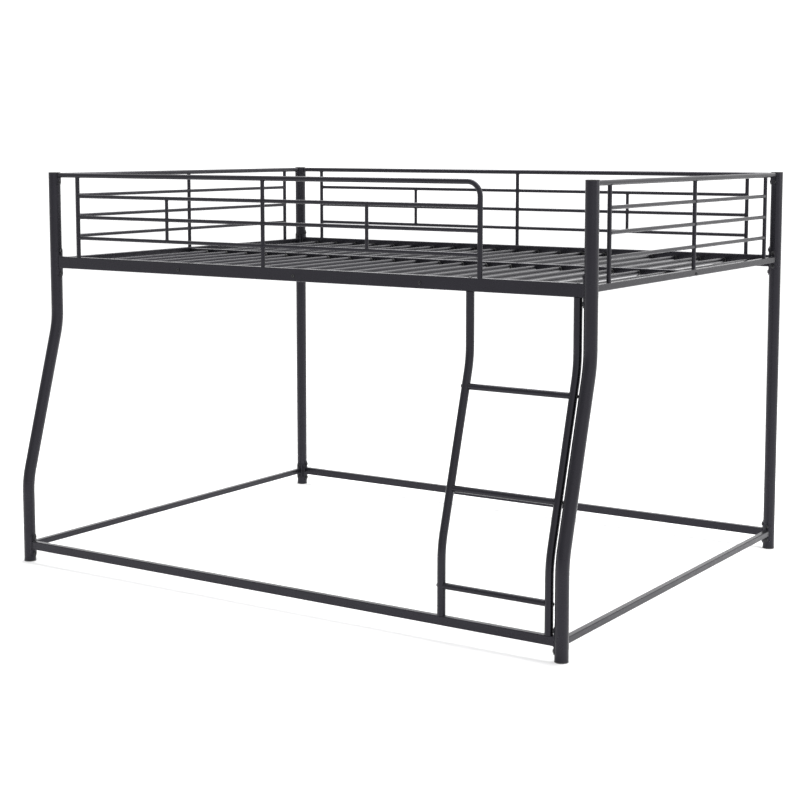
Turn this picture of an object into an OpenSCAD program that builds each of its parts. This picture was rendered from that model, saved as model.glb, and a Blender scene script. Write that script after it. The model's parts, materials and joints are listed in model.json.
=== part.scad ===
// Low metal bunk bed: a full-size upper bed over a wider queen-size floor frame, with a ladder.
// Bolted steel tube. The origin is the middle of the footprint on the floor. X runs along the
// bed with the ladder at +X, -Y is the front, +Z is up. All sizes are millimetres.

/* [Overall size] */
// Distance between the post centres along the bed
bed_length = 2048; // [1900:1:2200]
// Distance between the post centres across the upper bed
upper_depth = 1404; // [1200:1:1500]
// How far the front posts step forward below their bends
front_step = 154; // [80:1:220]
// Height of the posts
post_height = 1322; // [1280:1:1450]

/* [Posts] */
// Diameter of the posts
post_d = 40; // [34:1:50]
// Wall of the posts
post_wall = 1.5; // [1.2:0.1:2.5]
// Height of the middle of the slope of a front post
post_slope_z = 545; // [520:1:570]
// Radius of every bend of the posts and ladder stiles, on the centre line
bend_radius = 280; // [210:7:315]

/* [Bed rails] */
// Height of the middle of the upper side rails
upper_side_z = 1015; // [980:1:1040]
// Height of the middle of the upper end rails
upper_end_z = 1020; // [980:1:1040]
// Height of the middle of the floor frame rails
lower_rail_z = 56; // [50:1:90]
// Height of an upper side rail
upper_side_h = 40; // [34:1:46]
// Height of a lower side rail
lower_side_h = 28; // [24:1:34]
// Width of the rails, and height of the end rails
rail_w = 20; // [18:1:22]
// Wall of the rails
rail_wall = 1.5; // [1.2:0.1:2]
// Outer corner radius of the rails
rail_corner = 3; // [2:0.5:4]

/* [Slats] */
// Number of slats in each row
slat_count = 21; // [17:2:23]
// Distance between slats
slat_pitch = 93.2; // [80:0.1:94]
// Diameter of a slat
slat_d = 16; // [14:1:18]
// Height of the middle of the slats
slat_z = 1012; // [1006:1:1020]
// How far the middle of the centre beam is above the middle of the side rails
beam_rise = 1; // [0:1:5]

/* [Guardrails] */
// Diameter of the top rail of a guardrail
guard_top_d = 16; // [15:1:20]
// Diameter of the full-height uprights
upright_d = 13; // [12.5:0.5:14]
// Diameter of the level bars
bar_d = 12; // [11.5:0.1:12]
// Diameter of the short pickets between the bars
picket_d = 11; // [9:0.5:11]
// Distance from a post to the first upright
upright_inset = 108; // [80:1:150]
// Distance between the level bars
bar_pitch = 70.5; // [60:0.5:75]
// Distance from the right posts to the open end of the front guardrail
ladder_gap = 358; // [330:1:500]
// Radius of the bend at the open end of the front guardrail
guard_bend = 42; // [30:1:60]

/* [Ladder] */
// Diameter of the ladder stiles
stile_d = 25; // [22:1:28]
// Distance from the right posts to the near stile
stile_inset = 40; // [40:1:60]
// Distance between the stiles
ladder_width = 350; // [280:1:420]
// Height of the middle of the slope of a stile
stile_slope_z = 534; // [510:1:560]
// Diameter of a rung
rung_d = 19; // [16:1:22]
// Height of the lowest rung
lower_rung_z = 158; // [130:1:190]
// Height of the middle rung
middle_rung_z = 434; // [380:1:480]
// Height of the highest rung
upper_rung_z = 720; // [660:1:740]

/* [Fasteners] */
// Thickness of the curved plates at the rail ends
saddle_t = 2.5; // [2:0.5:4]
// Diameter of the rail bolts
bolt_d = 8; // [8:1:8]
// Diameter of the screws of the guardrails, rungs and slats
screw_d = 6; // [5:1:6]

/* [Hidden] */
$fn = 48;
steel = "#26252a";
beam_steel = "#2b2a2f";
plastic = "#111113";
bolt_black = "#17171a";
zinc = "#8d9093";

// Lines that the frame is set out on
x_post = bed_length / 2;
y_back = (upper_depth + front_step) / 2;
y_low = -y_back;
y_up = y_low + front_step;
y_mid = (y_up + y_back) / 2;
end_side = [-1, 1];

// The posts and stiles lean back 7 across for every 24 up, which is 25 along the slope
slope_across = 7;
slope_up = 24;
slope_along = 25;
lean = atan(slope_across / slope_up);
bend_tangent = bend_radius * (slope_along - slope_up) / slope_across;
slope_height = front_step * slope_up / slope_across;
slope_length = front_step * slope_along / slope_across - 2 * bend_tangent;

// Posts and their plugs
cap_t = 3;
foot_t = 4;
plug_len = 18;
post_bore = post_d - 2 * post_wall;
saddle_r = post_d / 2 + saddle_t;

// Gap left where a tube is fitted up to what it is welded to, and how far short of a plate's
// outer face a tube starts before it is coped to it
weld_gap = 0.1;
cope_depth = 3;
cope_r = saddle_r + weld_gap;

// Bolts: heights of a pair above and below the middle of a rail, and plate heights
bolt_head_d = 14;
bolt_head_t = 4;
bolt_reach = 14;
screw_head_d = 11;
screw_head_t = 3;
clearance = 0.4;
insert_d = 11;
insert_len = 12;
insert_sink = 1;
upper_side_bolts = 38;
lower_side_bolts = 28;
end_bolts = 23;
plate_margin = 12;
plate_w = 28;

// Guardrail end plates
ear_w = 24;
ear_h = 42;
ear_z = post_height - 2 - ear_h / 2;
ear_screw_z = ear_z - 10;
guard_z = post_height - 10;
lowest_bar_z = guard_z - 3 * bar_pitch;
guard_tube_wall = 1.2;

// Rail faces and tops
rail_half = rail_w / 2;
side_top_z = upper_side_z + upper_side_h / 2;
side_bottom_z = upper_side_z - upper_side_h / 2;
end_top_z = upper_end_z + rail_w / 2;
lower_top_z = lower_rail_z + lower_side_h / 2;
beam_z = upper_side_z + beam_rise;

// Slats: every fifth one is a cross slat, which is bolted instead of plugged
cross_step = 5;
slat_wall = 1;
slat_cap_d = 19;
slat_cap_len = 8;
slat_cap_floor = 2;
peg_d = 7;
peg_len = 4;
slat_first = -(slat_count - 1) / 2 * slat_pitch;

// Ladder
stile_wall = 1.2;
near_stile_x = x_post - stile_inset;
far_stile_x = near_stile_x - ladder_width;
stile_places = [far_stile_x, near_stile_x];
rung_wall = 1.2;
nut_len = 15;
open_end_x = x_post - ladder_gap;

function slat_x(i) = slat_first + i * slat_pitch;
function is_cross(i) = i % cross_step == 0 && i > 0 && i < slat_count - 1;
function stations(first, last, gaps) = [for (i = [0 : gaps]) first + i * (last - first) / gaps];
// Depth of the centre line of a ladder stile at height z
function stile_y(z) =
    y_low + min(front_step, max(0, (z - stile_slope_z + slope_height / 2) * slope_across / slope_up));

// ---------------------------------------------------------------- tubes and plates

// A tube along +Z
module tube(d, wall, length) {
    difference() {
        cylinder(d = d, h = length);
        cylinder(d = d - 2 * wall, h = length);
    }
}

// A tube along +X
module tube_x(d, wall, length) {
    rotate([0, 90, 0]) tube(d, wall, length);
}

// A tube along +Y
module tube_y(d, wall, length) {
    rotate([-90, 0, 0]) tube(d, wall, length);
}

module rod_x(d, length) {
    rotate([0, 90, 0]) cylinder(d = d, h = length);
}

module rod_y(d, length) {
    rotate([-90, 0, 0]) cylinder(d = d, h = length);
}

module ring(d, wall) {
    difference() {
        circle(d = d);
        circle(d = d - 2 * wall);
    }
}

module rounded_bar(w, h, corner, length) {
    inner_w = w - 2 * corner;
    inner_h = h - 2 * corner;
    linear_extrude(length) {
        square([w, inner_h], center = true);
        square([inner_w, h], center = true);
        for (sx = end_side, sy = end_side)
            translate([sx * inner_w / 2, sy * inner_h / 2]) circle(r = corner);
    }
}

// A rail of box section along +X: w across, h high, centred on the axis
module box_tube_x(w, h, length) {
    rotate([90, 0, 90])
        difference() {
            rounded_bar(w, h, rail_corner, length);
            rounded_bar(w - 2 * rail_wall, h - 2 * rail_wall, rail_corner - rail_wall, length);
        }
}

// The lower bend of a leaning tube, about the centre of the bend: a quarter turn that is cut
// off square to the slope
module bend(d, wall) {
    difference() {
        rotate([90, 0, -90]) rotate_extrude(angle = 90) translate([bend_radius, 0]) ring(d, wall);
        rotate([-lean, 0, 0])
            translate([-d, -2 * bend_radius, 0]) cube([2 * d, 4 * bend_radius, 2 * bend_radius]);
    }
}

// A tube that rises from z0 to z1 at the front of the bed and steps back in two bends, with
// the middle of its slope at middle_z
module stepped_tube(d, wall, z0, z1, middle_z) {
    lower_bend = middle_z - slope_height / 2;
    upper_bend = middle_z + slope_height / 2;
    slope_start = [0, y_low + bend_tangent * sin(lean), lower_bend + bend_tangent * cos(lean)];
    translate([0, y_low, z0]) tube(d, wall, lower_bend - bend_tangent - z0);
    translate([0, y_low + bend_radius, lower_bend - bend_tangent]) bend(d, wall);
    translate(slope_start) rotate([-lean, 0, 0]) tube(d, wall, slope_length);
    translate([0, y_up - bend_radius, upper_bend + bend_tangent]) rotate([180, 0, 0]) bend(d, wall);
    translate([0, y_up, upper_bend + bend_tangent]) tube(d, wall, z1 - upper_bend - bend_tangent);
}

// A plate that wraps a post and faces +X: rounded ends, and a hole at each height given
module saddle(h, w, holes, hole_d) {
    reach = saddle_r + 1;
    intersection() {
        difference() {
            translate([0, 0, -h / 2]) cylinder(r = saddle_r, h = h);
            translate([0, 0, -h / 2]) cylinder(d = post_d, h = h);
            for (z = holes) translate([0, 0, z]) rod_x(hole_d, reach);
        }
        union() {
            translate([0, -w / 2, -(h - w) / 2]) cube([reach, w, h - w]);
            for (s = end_side) translate([0, 0, s * (h - w) / 2]) rod_x(w, reach);
        }
    }
}

// ---------------------------------------------------------------- screws and nuts

// A round-head socket bolt: its head stands in +X and its shank runs along -X from the origin
module round_bolt(d, head_d, head_t, length) {
    socket_depth = 0.6 * head_t;
    rotate([0, 90, 0])
        difference() {
            union() {
                translate([0, 0, -length]) cylinder(d = d, h = length + head_t / 4);
                intersection() {
                    cylinder(d = head_d, h = head_t);
                    translate([0, 0, head_t - head_d]) sphere(r = head_d);
                }
            }
            translate([0, 0, head_t - socket_depth]) cylinder(d = 0.45 * head_d, h = head_t, $fn = 6);
        }
}

// A threaded insert along +X with its bore through it
module insert_nut(outer_d, bore_d, length) {
    tube_x(outer_d, (outer_d - bore_d) / 2, length);
}

module rail_bolt() {
    translate([saddle_r, 0, 0]) round_bolt(bolt_d, bolt_head_d, bolt_head_t, bolt_reach);
}

module ear_screw() {
    translate([saddle_r, 0, 0]) round_bolt(screw_d, screw_head_d, screw_head_t, bolt_reach);
}

// ---------------------------------------------------------------- where the joints are

// Runs its children at each post joint of a pair of side rails, facing along the bed
module at_side_joints(front_y, z) {
    for (y = [front_y, y_back], sx = end_side)
        translate([-sx * x_post, y, z]) rotate([0, 0, sx < 0 ? 180 : 0]) children();
}

// Runs its children at each post joint of a pair of end rails, facing across the bed
module at_end_joints(front_y, z) {
    for (x = [-x_post, x_post]) {
        translate([x, front_y, z]) rotate([0, 0, 90]) children();
        translate([x, y_back, z]) rotate([0, 0, -90]) children();
    }
}

// Runs its children above and below the middle of a rail
module at_bolt_pair(offset) {
    for (s = end_side) translate([0, 0, s * offset]) children();
}

// Runs its children at each guardrail ear: both ends of the back and end guardrails, and the
// post end of the front one
module at_ears() {
    translate([-x_post, y_up, 0]) children();
    translate([-x_post, y_back, 0]) children();
    translate([x_post, y_back, 0]) rotate([0, 0, 180]) children();
    at_end_joints(y_up, 0) children();
}

// Runs its children at each of the four posts, at floor level
module at_posts() {
    for (x = [-x_post, x_post]) {
        translate([x, y_low, 0]) children();
        translate([x, y_back, 0]) children();
    }
}

front_uprights = stations(-x_post + upright_inset, open_end_x, 4);
back_uprights = stations(-x_post + upright_inset, x_post - upright_inset, 4);
end_uprights = stations(y_up + upright_inset, y_back - upright_inset, 2);

// Where a foot screw holds an upright. The middle uprights of the back and the ends stand over
// a cross slat screw or the beam bolt, so they have none.
front_feet = [front_uprights[0], front_uprights[2], front_uprights[4]];
back_feet = [back_uprights[0], back_uprights[4]];
end_feet = [end_uprights[0], end_uprights[2]];

// Runs its children at each foot screw of the guardrail uprights, at z = 0
module at_side_feet() {
    for (x = front_feet) translate([x, y_up, 0]) children();
    for (x = back_feet) translate([x, y_back, 0]) children();
}

module at_end_feet() {
    for (x = [-x_post, x_post], y = end_feet) translate([x, y, 0]) children();
}

// Runs its children at the top of both ladder stiles, and at the bottom of both
module at_stile_tops() {
    for (x = stile_places) translate([x, y_up, 0]) children();
}

module at_stile_feet() {
    for (x = stile_places) translate([x, y_low, 0]) children();
}

// ---------------------------------------------------------------- posts

// Cuts the nut holes of the post at a corner: in_x and in_y point to the middle of the bed
module post_holes(in_x, in_y, foot_y, top_y, ear_on_side) {
    turn_x = in_x > 0 ? 0 : 180;
    turn_y = in_y > 0 ? 90 : -90;
    for (s = end_side) {
        joint_hole(foot_y, lower_rail_z + s * lower_side_bolts, turn_x);
        joint_hole(foot_y, lower_rail_z + s * end_bolts, turn_y);
        joint_hole(top_y, upper_side_z + s * upper_side_bolts, turn_x);
        joint_hole(top_y, upper_end_z + s * end_bolts, turn_y);
    }
    if (ear_on_side) joint_hole(top_y, ear_screw_z, turn_x);
    joint_hole(top_y, ear_screw_z, turn_y);
}

module joint_hole(y, z, turn) {
    translate([0, y, z]) rotate([0, 0, turn]) rod_x(insert_d, post_d);
}

module front_post(x, in_x, ear_on_side) {
    color(steel) translate([x, 0, 0])
        difference() {
            stepped_tube(post_d, post_wall, foot_t, post_height - cap_t, post_slope_z);
            post_holes(in_x, 1, y_low, y_up, ear_on_side);
        }
}

module back_post(x, in_x) {
    color(steel) translate([x, 0, 0])
        difference() {
            translate([0, y_back, foot_t]) tube(post_d, post_wall, post_height - cap_t - foot_t);
            post_holes(in_x, -1, y_back, y_back, true);
        }
}

module front_left_post() { front_post(-x_post, 1, true); }
module front_right_post() { front_post(x_post, -1, false); }
module back_left_post() { back_post(-x_post, 1); }
module back_right_post() { back_post(x_post, -1); }

// A flat disc the width of the post on a plug that fits its bore, disc at z = 0 going down
module post_plug(disc_t) {
    translate([0, 0, -disc_t]) cylinder(d = post_d, h = disc_t);
    difference() {
        cylinder(d = post_bore, h = plug_len);
        cylinder(d = post_bore - 4, h = plug_len);
    }
}

module post_foot_caps() {
    color(plastic) at_posts() translate([0, 0, foot_t]) post_plug(foot_t);
}

module post_top_caps() {
    color(plastic)
        for (x = [-x_post, x_post], y = [y_up, y_back])
            translate([x, y, post_height - cap_t]) mirror([0, 0, 1]) post_plug(cap_t);
}

// ---------------------------------------------------------------- bed rails

// A rail between two posts a given distance apart, centred, with a saddle plate at each end
module posted_rail(span, h, bolt_offset) {
    plate_h = 2 * (bolt_offset + plate_margin);
    length = span - 2 * (saddle_r - cope_depth);
    difference() {
        translate([-length / 2, 0, 0]) box_tube_x(rail_w, h, length);
        for (s = end_side) translate([s * span / 2, 0, -h]) cylinder(r = cope_r, h = 2 * h);
    }
    for (turn = [0, 180])
        rotate([0, 0, turn])
            translate([-span / 2, 0, 0])
                saddle(plate_h, plate_w, [-bolt_offset, bolt_offset], bolt_d + clearance);
}

// Round holes in an upper side rail. Its outside faces -Y before the rail is turned: a peg
// hole in the inner wall for each plugged slat, and a screw hole right through for each
// cross slat
module slat_holes() {
    drop = slat_z - upper_side_z;
    for (i = [0 : slat_count - 1])
        translate([slat_x(i), 0, drop])
            if (is_cross(i)) translate([0, -rail_w, 0]) rod_y(screw_d + clearance, 2 * rail_w);
            else rod_y(peg_d + clearance, rail_w);
}

// For a screw that stands in a rail: a hole through the top wall, and one in the bottom wall
// that lets its head in
module hidden_screw_hole() {
    cylinder(d = screw_d + clearance, h = upper_side_h);
    mirror([0, 0, 1]) cylinder(d = screw_head_d + 2 * clearance, h = upper_side_h);
}

module upper_front_rail() {
    color(steel) translate([0, y_up, upper_side_z])
        difference() {
            posted_rail(bed_length, upper_side_h, upper_side_bolts);
            slat_holes();
            for (x = front_feet) translate([x, 0, 0]) hidden_screw_hole();
            for (x = stile_places)
                translate([x, 0, -upper_side_h]) cylinder(d = screw_d + clearance, h = 2 * upper_side_h);
        }
}

module upper_back_rail() {
    color(steel) translate([0, y_back, upper_side_z])
        difference() {
            posted_rail(bed_length, upper_side_h, upper_side_bolts);
            mirror([0, 1, 0]) slat_holes();
            for (x = back_feet) translate([x, 0, 0]) hidden_screw_hole();
        }
}

// An upper end rail: holes for the guardrail feet, and one for the bolt of the centre beam
module upper_end_rail(x) {
    color(steel) translate([x, y_mid, upper_end_z])
        difference() {
            rotate([0, 0, 90]) posted_rail(upper_depth, rail_w, end_bolts);
            for (y = end_feet) translate([0, y - y_mid, 0]) hidden_screw_hole();
            translate([-rail_w, 0, beam_z - upper_end_z]) rod_x(screw_d + clearance, 2 * rail_w);
        }
}

module upper_left_rail() { upper_end_rail(-x_post); }
module upper_right_rail() { upper_end_rail(x_post); }

module lower_front_rail() {
    color(steel) translate([0, y_low, lower_rail_z])
        difference() {
            posted_rail(bed_length, lower_side_h, lower_side_bolts);
            for (x = stile_places) translate([x, 0, 0]) hidden_screw_hole();
        }
}

module lower_back_rail() {
    color(steel) translate([0, y_back, lower_rail_z])
        posted_rail(bed_length, lower_side_h, lower_side_bolts);
}

module lower_end_rail(x) {
    color(steel) translate([x, 0, lower_rail_z])
        rotate([0, 0, 90]) posted_rail(y_back - y_low, rail_w, end_bolts);
}

module lower_left_rail() { lower_end_rail(-x_post); }
module lower_right_rail() { lower_end_rail(x_post); }

// ---------------------------------------------------------------- slat deck

module centre_beam() {
    length = bed_length - rail_w;
    color(beam_steel) translate([0, y_mid, beam_z])
        difference() {
            translate([-length / 2, 0, 0]) box_tube_x(rail_w, rail_w, length);
            translate([0, 0, -beam_rise]) slat_holes();
            mirror([0, 1, 0]) translate([0, 0, -beam_rise]) slat_holes();
        }
}

// Runs its children at the front end of each slat of a row, cross slats or plugged ones
module at_slats(y, cross) {
    for (i = [0 : slat_count - 1])
        if (is_cross(i) == cross) translate([slat_x(i), y, slat_z]) children();
}

slat_gap = upper_depth / 2 - rail_w;

module plugged_slats(y) {
    color(steel)
        at_slats(y + slat_cap_floor, false)
            tube_y(slat_d, slat_wall, slat_gap - 2 * slat_cap_floor);
}

module cross_slats(y) {
    color(steel) at_slats(y, true) tube_y(slat_d, slat_wall, slat_gap);
}

// A cup that closes a slat and stands against a rail at y = 0, with a peg into the rail
module slat_cap() {
    difference() {
        rod_y(slat_cap_d, slat_cap_len);
        translate([0, slat_cap_floor, 0]) rod_y(slat_d, slat_cap_len);
    }
    translate([0, -peg_len, 0]) rod_y(peg_d, peg_len + slat_cap_floor / 2);
}

module slat_caps(y) {
    color(plastic) at_slats(y, false) {
        slat_cap();
        translate([0, slat_gap, 0]) mirror([0, 1, 0]) slat_cap();
    }
}

front_row_y = y_up + rail_half;
back_row_y = y_mid + rail_half;

module front_slats() { plugged_slats(front_row_y); }
module back_slats() { plugged_slats(back_row_y); }
module front_cross_slats() { cross_slats(front_row_y); }
module back_cross_slats() { cross_slats(back_row_y); }
module front_slat_caps() { slat_caps(front_row_y); }
module back_slat_caps() { slat_caps(back_row_y); }

// ---------------------------------------------------------------- guardrails

// A level tube from one upright to the next, coped to both
module level_bar(x0, x1) {
    difference() {
        translate([x0, 0, 0]) tube_x(bar_d, guard_tube_wall, x1 - x0);
        for (x = [x0, x1])
            translate([x, 0, -upright_d]) cylinder(d = upright_d + 2 * weld_gap, h = 2 * upright_d);
    }
}

// A full-height upright from the rail below, coped to the top rail
module upright(foot_z) {
    difference() {
        translate([0, 0, foot_z]) tube(upright_d, guard_tube_wall, guard_z - foot_z);
        translate([-upright_d, 0, guard_z]) rod_x(guard_top_d + 2 * weld_gap, 2 * upright_d);
    }
}

// A short picket in two pieces, coped to the three bars that it meets
module picket() {
    difference() {
        translate([0, 0, lowest_bar_z]) tube(picket_d, guard_tube_wall, 2 * bar_pitch);
        for (level = [0 : 2])
            translate([-picket_d, 0, lowest_bar_z + level * bar_pitch])
                rod_x(bar_d + 2 * weld_gap, 2 * picket_d);
    }
}

// The uprights, bars and pickets of one panel. Uprights stand at every second station when
// there are pickets between them, and at every station otherwise
module guard_panel(places, has_pickets, foot_z) {
    step = has_pickets ? 2 : 1;
    last = len(places) - 1;
    for (i = [0 : step : last]) translate([places[i], 0, 0]) upright(foot_z);
    for (i = [0 : step : last - 1], level = [0 : 2])
        translate([0, 0, lowest_bar_z + level * bar_pitch]) level_bar(places[i], places[i + step]);
    if (has_pickets)
        for (i = [1 : 2 : last]) translate([places[i], 0, 0]) picket();
}

// A top rail along X between two posts, with an ear plate at each one
module top_rail(span) {
    length = span - 2 * (saddle_r - cope_depth);
    difference() {
        translate([-length / 2, 0, guard_z]) tube_x(guard_top_d, guard_tube_wall, length);
        for (s = end_side)
            translate([s * span / 2, 0, guard_z - post_d]) cylinder(r = cope_r, h = 2 * post_d);
    }
    for (turn = [0, 180]) rotate([0, 0, turn]) translate([-span / 2, 0, 0]) ear();
}

module ear() {
    translate([0, 0, ear_z]) saddle(ear_h, ear_w, [ear_screw_z - ear_z], screw_d + clearance);
}

// The front top rail starts at the left post and bends down at the ladder opening
module open_top_rail() {
    start = -x_post + saddle_r - cope_depth;
    bend_x = open_end_x - guard_bend;
    bend_z = guard_z - guard_bend;
    difference() {
        translate([start, 0, guard_z]) tube_x(guard_top_d, guard_tube_wall, bend_x - start);
        translate([-x_post, 0, guard_z - post_d]) cylinder(r = cope_r, h = 2 * post_d);
    }
    translate([bend_x, 0, bend_z])
        rotate([90, 0, 0])
            rotate_extrude(angle = 90) translate([guard_bend, 0]) ring(guard_top_d, guard_tube_wall);
    translate([open_end_x, 0, side_top_z]) tube(guard_top_d, guard_tube_wall, bend_z - side_top_z);
    translate([-x_post, 0, 0]) ear();
}

module front_guardrail() {
    color(steel) translate([0, y_up, 0]) {
        open_top_rail();
        difference() {
            guard_panel(front_uprights, true, side_top_z);
            translate([open_end_x, 0, side_top_z - guard_top_d])
                cylinder(d = guard_top_d + 2 * weld_gap, h = guard_z + 2 * guard_top_d - side_top_z);
        }
    }
}

module back_guardrail() {
    color(steel) translate([0, y_back, 0]) {
        top_rail(bed_length);
        guard_panel(back_uprights, true, side_top_z);
    }
}

module end_guardrail(x) {
    places = [for (y = end_uprights) y - y_mid];
    color(steel) translate([x, y_mid, 0]) rotate([0, 0, 90]) {
        top_rail(upper_depth);
        guard_panel(places, false, end_top_z);
    }
}

module left_guardrail() { end_guardrail(-x_post); }
module right_guardrail() { end_guardrail(x_post); }

// ---------------------------------------------------------------- ladder

rung_heights = [lower_rung_z, middle_rung_z, upper_rung_z];

module stile(x) {
    hole_reach = stile_d + 2;
    color(steel) translate([x, 0, 0])
        difference() {
            stepped_tube(stile_d, stile_wall, lower_top_z, side_bottom_z, stile_slope_z);
            for (z = rung_heights)
                translate([-hole_reach / 2, stile_y(z), z]) rod_x(screw_d + clearance, hole_reach);
        }
}

module ladder_left_stile() { stile(far_stile_x); }
module ladder_right_stile() { stile(near_stile_x); }

// A rung between the stiles, coped to them
module rung(z) {
    color(steel) translate([far_stile_x, stile_y(z), z])
        difference() {
            tube_x(rung_d, rung_wall, ladder_width);
            for (x = [0, ladder_width])
                translate([x, 0, -stile_d]) cylinder(d = stile_d, h = 2 * stile_d);
        }
}

module ladder_lower_rung() { rung(lower_rung_z); }
module ladder_middle_rung() { rung(middle_rung_z); }
module ladder_upper_rung() { rung(upper_rung_z); }

// ---------------------------------------------------------------- fasteners

module upper_side_rail_bolts() {
    color(bolt_black) at_side_joints(y_up, upper_side_z) at_bolt_pair(upper_side_bolts) rail_bolt();
}

module upper_end_rail_bolts() {
    color(bolt_black) at_end_joints(y_up, upper_end_z) at_bolt_pair(end_bolts) rail_bolt();
}

module lower_side_rail_bolts() {
    color(bolt_black) at_side_joints(y_low, lower_rail_z) at_bolt_pair(lower_side_bolts) rail_bolt();
}

module lower_end_rail_bolts() {
    color(bolt_black) at_end_joints(y_low, lower_rail_z) at_bolt_pair(end_bolts) rail_bolt();
}

module guardrail_ear_screws() {
    color(bolt_black) at_ears() translate([0, 0, ear_screw_z]) ear_screw();
}

module wall_nut(bore) {
    translate([post_d / 2 - insert_sink - insert_len, 0, 0]) insert_nut(insert_d, bore, insert_len);
}

module post_insert_nuts() {
    color(zinc) {
        at_side_joints(y_up, upper_side_z) at_bolt_pair(upper_side_bolts) wall_nut(bolt_d);
        at_end_joints(y_up, upper_end_z) at_bolt_pair(end_bolts) wall_nut(bolt_d);
        at_side_joints(y_low, lower_rail_z) at_bolt_pair(lower_side_bolts) wall_nut(bolt_d);
        at_end_joints(y_low, lower_rail_z) at_bolt_pair(end_bolts) wall_nut(bolt_d);
    }
}

module ear_insert_nuts() {
    color(zinc) at_ears() translate([0, 0, ear_screw_z]) wall_nut(screw_d);
}

// A screw that stands up from its head, which is at z = 0 and below
module rising_screw(length) {
    rotate([0, 90, 0]) round_bolt(screw_d, screw_head_d, screw_head_t, length);
}

module guardrail_foot_screws() {
    length = rail_wall + nut_len;
    color(bolt_black) {
        at_side_feet() translate([0, 0, side_top_z - rail_wall]) rising_screw(length);
        at_end_feet() translate([0, 0, end_top_z - rail_wall]) rising_screw(length);
    }
}

module foot_nut(d, length) {
    tube(d - 2 * guard_tube_wall, (d - 2 * guard_tube_wall - screw_d) / 2, length);
}

module guardrail_foot_nuts() {
    color(zinc) {
        for (x = front_feet)
            translate([x, y_up, side_top_z])
                foot_nut(x == open_end_x ? guard_top_d : upright_d, nut_len);
        for (x = back_feet) translate([x, y_back, side_top_z]) foot_nut(upright_d, nut_len);
        at_end_feet() translate([0, 0, end_top_z]) foot_nut(upright_d, nut_len);
    }
}

// Runs its children at the outside of each stile at each rung, facing away from the rung
module at_rung_ends() {
    for (z = rung_heights) {
        translate([near_stile_x, stile_y(z), z]) children();
        translate([far_stile_x, stile_y(z), z]) rotate([0, 0, 180]) children();
    }
}

module rung_screws() {
    color(bolt_black)
        at_rung_ends() translate([stile_d / 2, 0, 0])
            round_bolt(screw_d, screw_head_d, screw_head_t, stile_d + nut_len);
}

module rung_nuts() {
    bore = rung_d - 2 * rung_wall;
    color(zinc)
        at_rung_ends() translate([-stile_d / 2 - nut_len, 0, 0]) insert_nut(bore, screw_d, nut_len);
}

// The top bolts go down through the rail above, and the bottom ones stand up inside the rail
// below
module ladder_bolts() {
    color(bolt_black) {
        at_stile_tops() translate([0, 0, side_top_z])
            mirror([0, 0, 1]) rising_screw(upper_side_h + nut_len);
        at_stile_feet() translate([0, 0, lower_top_z - rail_wall])
            rising_screw(rail_wall + nut_len);
    }
}

module stile_nut() {
    bore = stile_d - 2 * stile_wall;
    tube(bore, (bore - screw_d) / 2, nut_len);
}

module ladder_nuts() {
    color(zinc) {
        at_stile_tops() translate([0, 0, side_bottom_z - nut_len]) stile_nut();
        at_stile_feet() translate([0, 0, lower_top_z]) stile_nut();
    }
}

// Runs its children at the outer face of each side rail at each cross slat, facing outward
module at_cross_slat_ends() {
    for (i = [0 : slat_count - 1])
        if (is_cross(i)) {
            translate([slat_x(i), y_up - rail_half, slat_z]) rotate([0, 0, -90]) children();
            translate([slat_x(i), y_back + rail_half, slat_z]) rotate([0, 0, 90]) children();
        }
}

module cross_slat_screws() {
    color(bolt_black)
        at_cross_slat_ends() round_bolt(screw_d, screw_head_d, screw_head_t, rail_w + nut_len);
}

module cross_slat_nuts() {
    bore = slat_d - 2 * slat_wall;
    color(zinc) {
        at_cross_slat_ends() translate([-rail_w - nut_len, 0, 0]) insert_nut(bore, screw_d, nut_len);
        at_slats(y_mid, true)
            for (turn = [-90, 90])
                rotate([0, 0, turn]) translate([rail_half, 0, 0]) insert_nut(bore, screw_d, nut_len);
    }
}

// A headless stud through the beam that joins the two cross slats of a station
module beam_studs() {
    length = rail_w + 2 * nut_len;
    color(bolt_black) at_slats(y_mid, true) translate([0, -length / 2, 0]) rod_y(screw_d, length);
}

// Runs its children at the outer face of each end rail, at the centre beam, facing outward
module at_beam_ends() {
    for (turn = [0, 180])
        rotate([0, 0, turn])
            translate([x_post + rail_half, turn == 0 ? y_mid : -y_mid, beam_z]) children();
}

module beam_bolts() {
    color(bolt_black)
        at_beam_ends() round_bolt(screw_d, screw_head_d, screw_head_t, rail_w + nut_len);
}

// A block that fills the end of the beam and takes the beam bolt
module beam_nuts() {
    block_w = rail_w - 2 * rail_wall;
    color(zinc)
        at_beam_ends() translate([-rail_w - nut_len, 0, 0])
            difference() {
                rotate([90, 0, 90]) rounded_bar(block_w, block_w, rail_corner - rail_wall, nut_len);
                rod_x(screw_d, nut_len);
            }
}

// ---------------------------------------------------------------- the assembly

front_left_post();
front_right_post();
back_left_post();
back_right_post();
post_top_caps();
post_foot_caps();
upper_front_rail();
upper_back_rail();
upper_left_rail();
upper_right_rail();
lower_front_rail();
lower_back_rail();
lower_left_rail();
lower_right_rail();
centre_beam();
front_slats();
back_slats();
front_cross_slats();
back_cross_slats();
front_slat_caps();
back_slat_caps();
front_guardrail();
back_guardrail();
left_guardrail();
right_guardrail();
ladder_left_stile();
ladder_right_stile();
ladder_lower_rung();
ladder_middle_rung();
ladder_upper_rung();
upper_side_rail_bolts();
upper_end_rail_bolts();
lower_side_rail_bolts();
lower_end_rail_bolts();
post_insert_nuts();
guardrail_ear_screws();
ear_insert_nuts();
guardrail_foot_screws();
guardrail_foot_nuts();
rung_screws();
rung_nuts();
ladder_bolts();
ladder_nuts();
cross_slat_screws();
cross_slat_nuts();
beam_studs();
beam_bolts();
beam_nuts();
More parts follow.
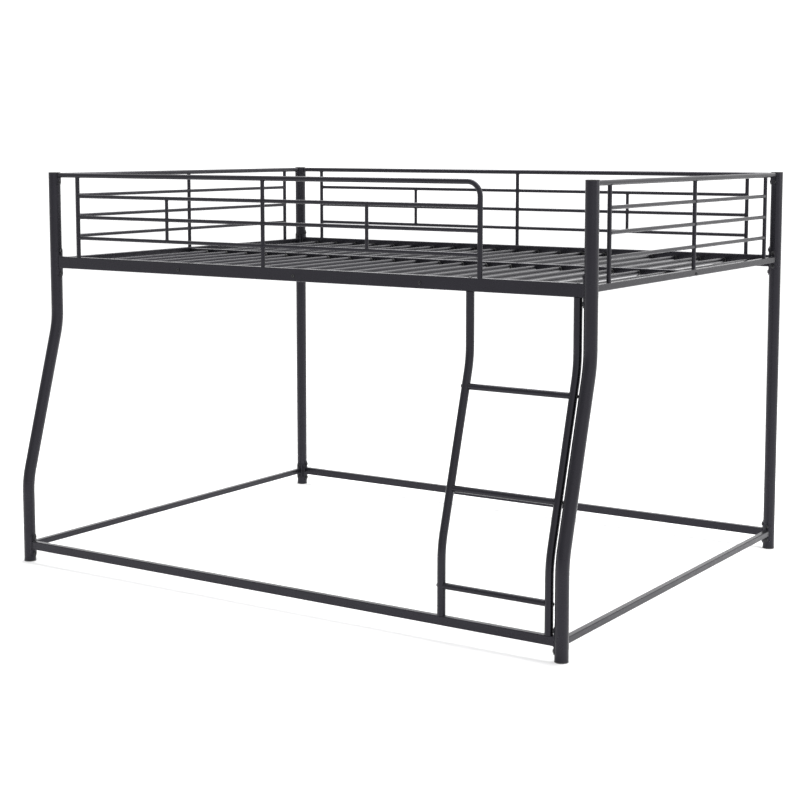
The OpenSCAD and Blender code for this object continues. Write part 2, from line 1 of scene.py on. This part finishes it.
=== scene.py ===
"""Low metal bunk bed with a ladder: finishes, weld beads, studio and camera.

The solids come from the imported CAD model. Everything here is in metres in its frame: X runs
along the bed with the ladder at +X, -Y is the front, +Z is up, and the floor is z = 0.
"""
import json
import math

import bmesh
import bpy
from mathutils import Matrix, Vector


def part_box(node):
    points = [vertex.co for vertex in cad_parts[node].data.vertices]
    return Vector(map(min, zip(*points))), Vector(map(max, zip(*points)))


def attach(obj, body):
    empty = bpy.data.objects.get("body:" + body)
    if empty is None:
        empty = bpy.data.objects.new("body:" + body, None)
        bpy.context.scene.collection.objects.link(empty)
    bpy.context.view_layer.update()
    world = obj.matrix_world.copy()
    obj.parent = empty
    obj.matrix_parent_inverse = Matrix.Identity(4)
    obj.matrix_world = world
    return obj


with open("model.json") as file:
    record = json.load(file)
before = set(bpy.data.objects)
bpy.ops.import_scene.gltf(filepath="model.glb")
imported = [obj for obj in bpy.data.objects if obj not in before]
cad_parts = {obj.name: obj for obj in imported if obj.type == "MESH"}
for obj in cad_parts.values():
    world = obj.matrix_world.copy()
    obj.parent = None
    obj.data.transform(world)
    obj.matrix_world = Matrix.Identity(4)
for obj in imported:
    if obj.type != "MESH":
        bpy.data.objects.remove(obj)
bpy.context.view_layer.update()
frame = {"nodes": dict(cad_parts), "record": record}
MM = 0.001
UP = Vector((0, 0, 1))
ALONG_X = Vector((1, 0, 0))
ALONG_Y = Vector((0, 1, 0))


# ---------------------------------------------------------------- where things are

def middle(node):
    """The centre of a CAD node's box."""
    low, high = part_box(node)
    return (Vector(low) + Vector(high)) / 2


LEFT_X = middle("back_left_post").x
RIGHT_X = middle("back_right_post").x
BACK_Y = middle("upper_back_rail").y
FRONT_Y = middle("upper_front_rail").y
LOW_FRONT_Y = middle("lower_front_rail").y
POST_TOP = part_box("post_top_caps")[1][2]

# Guardrail tubes: radii, heights, and how far the outer uprights are from the posts
TOP_RAIL_R = 8 * MM
UPRIGHT_R = 6.5 * MM
BAR_R = 6 * MM
PICKET_R = 5.5 * MM
BAR_PITCH = 70.5 * MM
TOP_RAIL_Z = POST_TOP - 10 * MM
BAR_HEIGHTS = [TOP_RAIL_Z - level * BAR_PITCH for level in (1, 2, 3)]
UPRIGHT_INSET = 108 * MM
LADDER_GAP = 358 * MM

# Bed rails: half of their width and heights, and the outer radius of the plates at their ends
RAIL_HALF_W = 10 * MM
UPPER_SIDE_HALF_H = 20 * MM
LOWER_SIDE_HALF_H = 14 * MM
PLATE_R = 22.5 * MM

# Weld beads: thickness, how much every second ring swells, and how finely they are drawn
BEAD_R = 1.3 * MM
BEAD_RIPPLE = 0.16
BEAD_SIDES = 6
TUBE_JOINT_POINTS = 28
BOX_JOINT_STEP = 4 * MM
# A direction that no bead runs along, to measure its rings from
BEAD_REFERENCE = Vector((0.37, 0.21, 0.9))

FLOOR_SIZE = 60


def stations(first, last, gaps):
    """Evenly spaced places from first to last."""
    return [first + i * (last - first) / gaps for i in range(gaps + 1)]


FRONT_STATIONS = stations(LEFT_X + UPRIGHT_INSET, RIGHT_X - LADDER_GAP, 4)
BACK_STATIONS = stations(LEFT_X + UPRIGHT_INSET, RIGHT_X - UPRIGHT_INSET, 4)
END_STATIONS = stations(FRONT_Y + UPRIGHT_INSET, BACK_Y - UPRIGHT_INSET, 2)


# ---------------------------------------------------------------- material helpers

class Nodes:
    """A short way to add and join shader nodes of one material."""

    def __init__(self, name):
        self.material = bpy.data.materials.new(name)
        self.material.use_nodes = True
        self.tree = self.material.node_tree
        self.shader = self.tree.nodes["Principled BSDF"]

    def add(self, kind, **values):
        """Adds a node. Each value is a socket's, or else a property of the node."""
        node = self.tree.nodes.new(kind)
        for key, value in values.items():
            if key in node.inputs:
                node.inputs[key].default_value = value
            else:
                setattr(node, key, value)
        return node

    def link(self, source, target):
        self.tree.links.new(source, target)

    def set(self, **values):
        """Sets sockets of the shader, written with _ for each space in their names."""
        for key, value in values.items():
            self.shader.inputs[key.replace("_", " ")].default_value = value

    def noise(self, scale, detail):
        """A noise in the object's own metres."""
        place = self.add("ShaderNodeTexCoord")
        node = self.add("ShaderNodeTexNoise", Scale=scale, Detail=detail)
        self.link(place.outputs["Object"], node.inputs["Vector"])
        return node.outputs["Fac"]

    def ramp(self, source, low, high, dark, light):
        """Maps source from low..high to the colours dark..light."""
        node = self.add("ShaderNodeValToRGB")
        first, last = node.color_ramp.elements
        first.position = low
        last.position = high
        first.color = dark
        last.color = light
        self.link(source, node.inputs["Fac"])
        return node.outputs["Color"]

    def span(self, source, low, high):
        """Maps a noise, which mostly stays within 0.3..0.7, to the range low..high."""
        node = self.add("ShaderNodeMapRange")
        node.inputs["From Min"].default_value = 0.3
        node.inputs["From Max"].default_value = 0.7
        node.inputs["To Min"].default_value = low
        node.inputs["To Max"].default_value = high
        self.link(source, node.inputs["Value"])
        return node.outputs["Result"]

    def bump(self, source, distance, strength, below=None):
        """Bumps up to distance metres high, over the normal below where one is given."""
        node = self.add("ShaderNodeBump", Strength=strength, Distance=distance)
        self.link(source, node.inputs["Height"])
        if below is not None:
            self.link(below, node.inputs["Normal"])
        return node.outputs["Normal"]

    def facing_up(self):
        """1 on faces that look straight up, and 0 from about 50 degrees off that."""
        geometry = self.add("ShaderNodeNewGeometry")
        split = self.add("ShaderNodeSeparateXYZ")
        self.link(geometry.outputs["Normal"], split.inputs["Vector"])
        node = self.add("ShaderNodeMapRange")
        node.inputs["From Min"].default_value = 0.6
        self.link(split.outputs["Z"], node.inputs["Value"])
        return node.outputs["Result"]

    def mix(self, amount, first, second):
        """Mixes two colours, each a value or another node's output."""
        node = self.add("ShaderNodeMix", data_type="RGBA")
        self.link(amount, node.inputs["Factor"])
        for source, target in ((first, node.inputs["A"]), (second, node.inputs["B"])):
            if isinstance(source, tuple):
                target.default_value = source
            else:
                self.link(source, target)
        return node.outputs["Result"]


def grey(level, blue=0.0):
    """A grey with a given share more blue."""
    return (level, level, level * (1 + blue), 1.0)


# ---------------------------------------------------------------- materials

def powder_coat():
    """Semi-gloss black powder coat: orange peel, cloudy gloss, faint dust on what faces up."""
    m = Nodes("black_powder_coat")
    black = grey(0.0030, blue=0.22)
    worn_black = grey(0.0050, blue=0.24)
    speck_colour = grey(0.02, blue=0.05)
    dust_colour = grey(0.13, blue=0.02)

    cloud = m.noise(scale=9.0, detail=4.0)
    colour = m.ramp(cloud, 0.35, 0.7, dark=black, light=worn_black)
    speck = m.ramp(m.noise(scale=1400.0, detail=1.0), 0.68, 0.74, dark=grey(0.0), light=grey(1.0))
    colour = m.mix(speck, colour, speck_colour)
    dust = m.add("ShaderNodeMath", operation="MULTIPLY")
    m.link(m.facing_up(), dust.inputs[0])
    m.link(m.span(m.noise(scale=38.0, detail=5.0), low=0.03, high=0.16), dust.inputs[1])
    m.link(m.mix(dust.outputs["Value"], colour, dust_colour), m.shader.inputs["Base Color"])

    gloss = m.span(m.noise(scale=24.0, detail=3.0), low=0.23, high=0.31)
    m.link(gloss, m.shader.inputs["Roughness"])
    peel = m.bump(m.noise(scale=520.0, detail=2.0), distance=0.06 * MM, strength=0.45)
    wave = m.noise(scale=60.0, detail=1.0)
    m.link(m.bump(wave, distance=0.12 * MM, strength=0.25, below=peel), m.shader.inputs["Normal"])
    m.set(Specular_IOR_Level=0.36, Specular_Tint=(0.88, 0.85, 1.0, 1.0))
    return m.material


def moulded_plastic():
    """Matt black moulded plastic with a fine spark-eroded grain."""
    m = Nodes("black_moulded_plastic")
    cloud = m.noise(scale=60.0, detail=3.0)
    colour = m.ramp(cloud, 0.35, 0.7, dark=grey(0.008), light=grey(0.016))
    m.link(colour, m.shader.inputs["Base Color"])
    gloss = m.span(m.noise(scale=300.0, detail=2.0), low=0.5, high=0.66)
    m.link(gloss, m.shader.inputs["Roughness"])
    grain = m.noise(scale=1800.0, detail=1.0)
    m.link(m.bump(grain, distance=0.05 * MM, strength=0.5), m.shader.inputs["Normal"])
    return m.material


def black_oxide():
    """Black oxide bolt steel: thin oily metal sheen with rubbed spots."""
    m = Nodes("black_oxide_steel")
    cloud = m.noise(scale=420.0, detail=4.0)
    rubbed = m.ramp(cloud, 0.52, 0.72, dark=grey(0.03, blue=0.06), light=grey(0.11, blue=0.04))
    m.link(rubbed, m.shader.inputs["Base Color"])
    gloss = m.span(m.noise(scale=700.0, detail=2.0), low=0.28, high=0.46)
    m.link(gloss, m.shader.inputs["Roughness"])
    grain = m.noise(scale=1500.0, detail=1.0)
    m.link(m.bump(grain, distance=0.03 * MM, strength=0.4), m.shader.inputs["Normal"])
    m.set(Metallic=0.85)
    return m.material


def zinc_plate():
    """Bright zinc plate with small crystals, on the nuts inside the tubes."""
    m = Nodes("zinc_plated_steel")
    crystals = m.noise(scale=900.0, detail=3.0)
    colour = m.ramp(crystals, 0.3, 0.7, dark=grey(0.42, blue=0.04), light=grey(0.6, blue=0.03))
    m.link(colour, m.shader.inputs["Base Color"])
    gloss = m.span(m.noise(scale=500.0, detail=2.0), low=0.25, high=0.4)
    m.link(gloss, m.shader.inputs["Roughness"])
    grain = m.noise(scale=1200.0, detail=1.0)
    m.link(m.bump(grain, distance=0.02 * MM, strength=0.4), m.shader.inputs["Normal"])
    m.set(Metallic=1.0)
    return m.material


FINISHES = {
    "black_powder_coat": powder_coat(),
    "black_plastic": moulded_plastic(),
    "black_bolt_steel": black_oxide(),
    "zinc_steel": zinc_plate(),
}


def finish_cad_nodes():
    """Gives each CAD node the finish of its material slot."""
    for part in frame["record"]["subparts"]:
        solid = frame["nodes"][part["node"]]
        for slot in solid.material_slots:
            slot.material = FINISHES[part["material_slot"]]


# ---------------------------------------------------------------- weld beads

def add_bead(mesh, path):
    """Adds a closed bead along a loop of points, rippled like stacked weld drops."""
    count = len(path)
    rings = []
    for i, point in enumerate(path):
        along = (path[(i + 1) % count] - path[i - 1]).normalized()
        across = along.cross(BEAD_REFERENCE).normalized()
        up = along.cross(across)
        size = BEAD_R * (1.0 + BEAD_RIPPLE * (-1) ** i)
        ring = []
        for k in range(BEAD_SIDES):
            turn = 2 * math.pi * k / BEAD_SIDES
            out = math.cos(turn) * across + math.sin(turn) * up
            ring.append(mesh.verts.new(point + size * out))
        rings.append(ring)
    for i in range(count):
        here, there = rings[i - 1], rings[i]
        for k in range(BEAD_SIDES):
            j = (k + 1) % BEAD_SIDES
            mesh.faces.new((here[k], here[j], there[j], there[k]))


def tube_joint(centre, along, around, r_tube, r_main):
    """The loop where a tube that runs in direction along meets the side of another tube.

    centre is the point on the other tube's axis, around is that axis's direction and r_main
    is its radius. A radius of 0 gives a flat loop, for a tube that stands on a flat face.
    """
    side = along.cross(around)
    loop = []
    for i in range(TUBE_JOINT_POINTS):
        turn = 2 * math.pi * i / TUBE_JOINT_POINTS
        off_side = r_tube * math.cos(turn)
        off_axis = r_tube * math.sin(turn)
        reach = math.sqrt(max(r_main ** 2 - off_side ** 2, 0.0))
        loop.append(centre + reach * along + off_side * side + off_axis * around)
    return loop


def box_joint(centre, along, half_w, half_h):
    """The loop where a rail of box section meets the curved plate round a post."""
    side = along.cross(UP)
    corners = [(-half_w, -half_h), (half_w, -half_h), (half_w, half_h), (-half_w, half_h)]
    loop = []
    for (w0, h0), (w1, h1) in zip(corners, corners[1:] + corners[:1]):
        parts = max(2, round(math.hypot(w1 - w0, h1 - h0) / BOX_JOINT_STEP))
        for i in range(parts):
            w = w0 + (w1 - w0) * i / parts
            h = h0 + (h1 - h0) * i / parts
            reach = math.sqrt(PLATE_R ** 2 - w ** 2)
            loop.append(centre + reach * along + w * side + h * UP)
    return loop


def bead_object(name, loops):
    """One mesh of all the beads given, riding on the bed."""
    mesh = bmesh.new()
    for loop in loops:
        add_bead(mesh, loop)
    data = bpy.data.meshes.new(name)
    mesh.to_mesh(data)
    mesh.free()
    for face in data.polygons:
        face.use_smooth = True
    piece = bpy.data.objects.new(name, data)
    bpy.context.scene.collection.objects.link(piece)
    data.materials.append(FINISHES["black_powder_coat"])
    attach(piece, "root")


def guard_loops(at, along, places, pickets, open_end=False, welded_foot_z=None):
    """The weld loops of one guardrail. at(s) is the floor point under its place s.

    With pickets, uprights stand at every second place and pickets between them. The feet are
    screwed, apart from the middle one where welded_foot_z is given. An open end is the top
    rail bent down, in place of the last upright.
    """
    loops = []
    full = places[::2] if pickets else places
    for s in full[:-1] if open_end else full:
        loops.append(tube_joint(at(s) + TOP_RAIL_Z * UP, -UP, along, UPRIGHT_R, TOP_RAIL_R))
    if welded_foot_z is not None:
        foot = at(full[len(full) // 2]) + welded_foot_z * UP
        loops.append(tube_joint(foot, UP, along, UPRIGHT_R, 0.0))
    for s, t in zip(full, full[1:]):
        end_r = TOP_RAIL_R if open_end and t == full[-1] else UPRIGHT_R
        for z in BAR_HEIGHTS:
            loops.append(tube_joint(at(s) + z * UP, along, UP, BAR_R, UPRIGHT_R))
            loops.append(tube_joint(at(t) + z * UP, -along, UP, BAR_R, end_r))
    if pickets:
        for s in places[1::2]:
            for upper, lower in zip(BAR_HEIGHTS, BAR_HEIGHTS[1:]):
                loops.append(tube_joint(at(s) + upper * UP, -UP, along, PICKET_R, BAR_R))
                loops.append(tube_joint(at(s) + lower * UP, UP, along, PICKET_R, BAR_R))
    return loops


def on_line(x=None, y=None):
    """A function from a place along a panel to its point on the floor."""
    if x is None:
        return lambda s: Vector((s, y, 0))
    return lambda s: Vector((x, s, 0))


def rail_loops(node, half_h, first, last, along):
    """The weld loops at both ends of a rail, which runs between the posts at first and last."""
    z = middle(node).z
    return [
        box_joint(first + z * UP, along, RAIL_HALF_W, half_h),
        box_joint(last + z * UP, -along, RAIL_HALF_W, half_h),
    ]


def add_guardrail_welds():
    side_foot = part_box("back_guardrail")[0][2]
    end_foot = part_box("left_guardrail")[0][2]
    front = guard_loops(on_line(y=FRONT_Y), ALONG_X, FRONT_STATIONS, True, open_end=True)
    back = guard_loops(on_line(y=BACK_Y), ALONG_X, BACK_STATIONS, True, welded_foot_z=side_foot)
    bead_object("front_guardrail_welds", front)
    bead_object("back_guardrail_welds", back)
    for side, x in (("left", LEFT_X), ("right", RIGHT_X)):
        loops = guard_loops(on_line(x=x), ALONG_Y, END_STATIONS, False, welded_foot_z=end_foot)
        bead_object(side + "_guardrail_welds", loops)


def add_rail_welds(level, front_y, side_half_h):
    """The welds of the four rails of one level, which join the plates at the posts."""
    loops = []
    for side, y in (("front", front_y), ("back", BACK_Y)):
        first, last = Vector((LEFT_X, y, 0)), Vector((RIGHT_X, y, 0))
        loops += rail_loops(level + "_" + side + "_rail", side_half_h, first, last, ALONG_X)
    for side, x in (("left", LEFT_X), ("right", RIGHT_X)):
        first, last = Vector((x, front_y, 0)), Vector((x, BACK_Y, 0))
        loops += rail_loops(level + "_" + side + "_rail", RAIL_HALF_W, first, last, ALONG_Y)
    bead_object(level + "_rail_welds", loops)


# ---------------------------------------------------------------- studio

def add_floor():
    """A plain, nearly white floor that reaches far past the picture."""
    bpy.ops.mesh.primitive_plane_add(size=FLOOR_SIZE)
    floor = bpy.context.object
    floor.name = "studio_floor"
    m = Nodes("studio_floor_paint")
    cloud = m.noise(scale=0.6, detail=2.0)
    colour = m.ramp(cloud, 0.3, 0.7, dark=grey(0.93), light=grey(0.96))
    m.link(colour, m.shader.inputs["Base Color"])
    m.set(Roughness=0.9)
    floor.data.materials.append(m.material)


def add_world():
    """A white studio: bright behind, above and to the right, dimmer at the front left."""
    bright_side = (0.6, 0.55, 0.3)
    dim_from, white_from = 0.15, 0.5
    dim = (0.55, 0.55, 0.57, 1)
    white = (1.0, 1.0, 1.0, 1)
    strength = 1.35

    world = bpy.data.worlds.new("studio")
    bpy.context.scene.world = world
    world.use_nodes = True
    tree = world.node_tree
    place = tree.nodes.new("ShaderNodeTexCoord")
    turn = tree.nodes.new("ShaderNodeVectorMath")
    turn.operation = "DOT_PRODUCT"
    turn.inputs[1].default_value = bright_side
    shift = tree.nodes.new("ShaderNodeMapRange")
    shift.inputs["From Min"].default_value = -1.0
    ramp = tree.nodes.new("ShaderNodeValToRGB")
    first, last = ramp.color_ramp.elements
    first.position = dim_from
    first.color = dim
    last.position = white_from
    last.color = white
    tree.links.new(place.outputs["Generated"], turn.inputs[0])
    tree.links.new(turn.outputs["Value"], shift.inputs["Value"])
    tree.links.new(shift.outputs["Result"], ramp.inputs["Fac"])
    tree.links.new(ramp.outputs["Color"], tree.nodes["Background"].inputs["Color"])
    tree.nodes["Background"].inputs["Strength"].default_value = strength


def add_softbox(name, place, target, size, power):
    """A soft rectangular lamp of a size in metres and a power in watts, aimed at a point."""
    data = bpy.data.lights.new(name, "AREA")
    data.shape = "RECTANGLE"
    data.size, data.size_y = size
    data.energy = power
    lamp = bpy.data.objects.new(name, data)
    lamp.location = place
    aim = Vector(target) - Vector(place)
    lamp.rotation_euler = aim.to_track_quat("-Z", "Y").to_euler()
    bpy.context.scene.collection.objects.link(lamp)


def add_camera():
    """A long lens a little above the bed, off its front right corner, looking slightly down."""
    look_down = math.radians(6.09)
    turn = math.radians(33.32)
    data = bpy.data.cameras.new("camera")
    data.lens = 75.1
    data.sensor_width = 36.0
    data.shift_y = -0.10
    camera = bpy.data.objects.new("camera", data)
    camera.location = (3.11, -4.762, 1.425)
    camera.rotation_euler = (math.radians(90) - look_down, 0.0, turn)
    bpy.context.scene.collection.objects.link(camera)
    bpy.context.scene.camera = camera


finish_cad_nodes()
add_guardrail_welds()
add_rail_welds("upper", FRONT_Y, UPPER_SIDE_HALF_H)
add_rail_welds("lower", LOW_FRONT_Y, LOWER_SIDE_HALF_H)
add_floor()
add_world()
add_softbox("softbox_top", place=(0.0, 1.2, 4.0), target=(0, 0, 0.6), size=(4.5, 2.0), power=160)
add_softbox("softbox_right", place=(4.6, 0.8, 2.2), target=(0, 0, 0.7), size=(1.6, 2.4), power=20)
add_camera()
bpy.context.scene.view_settings.view_transform = "Standard"
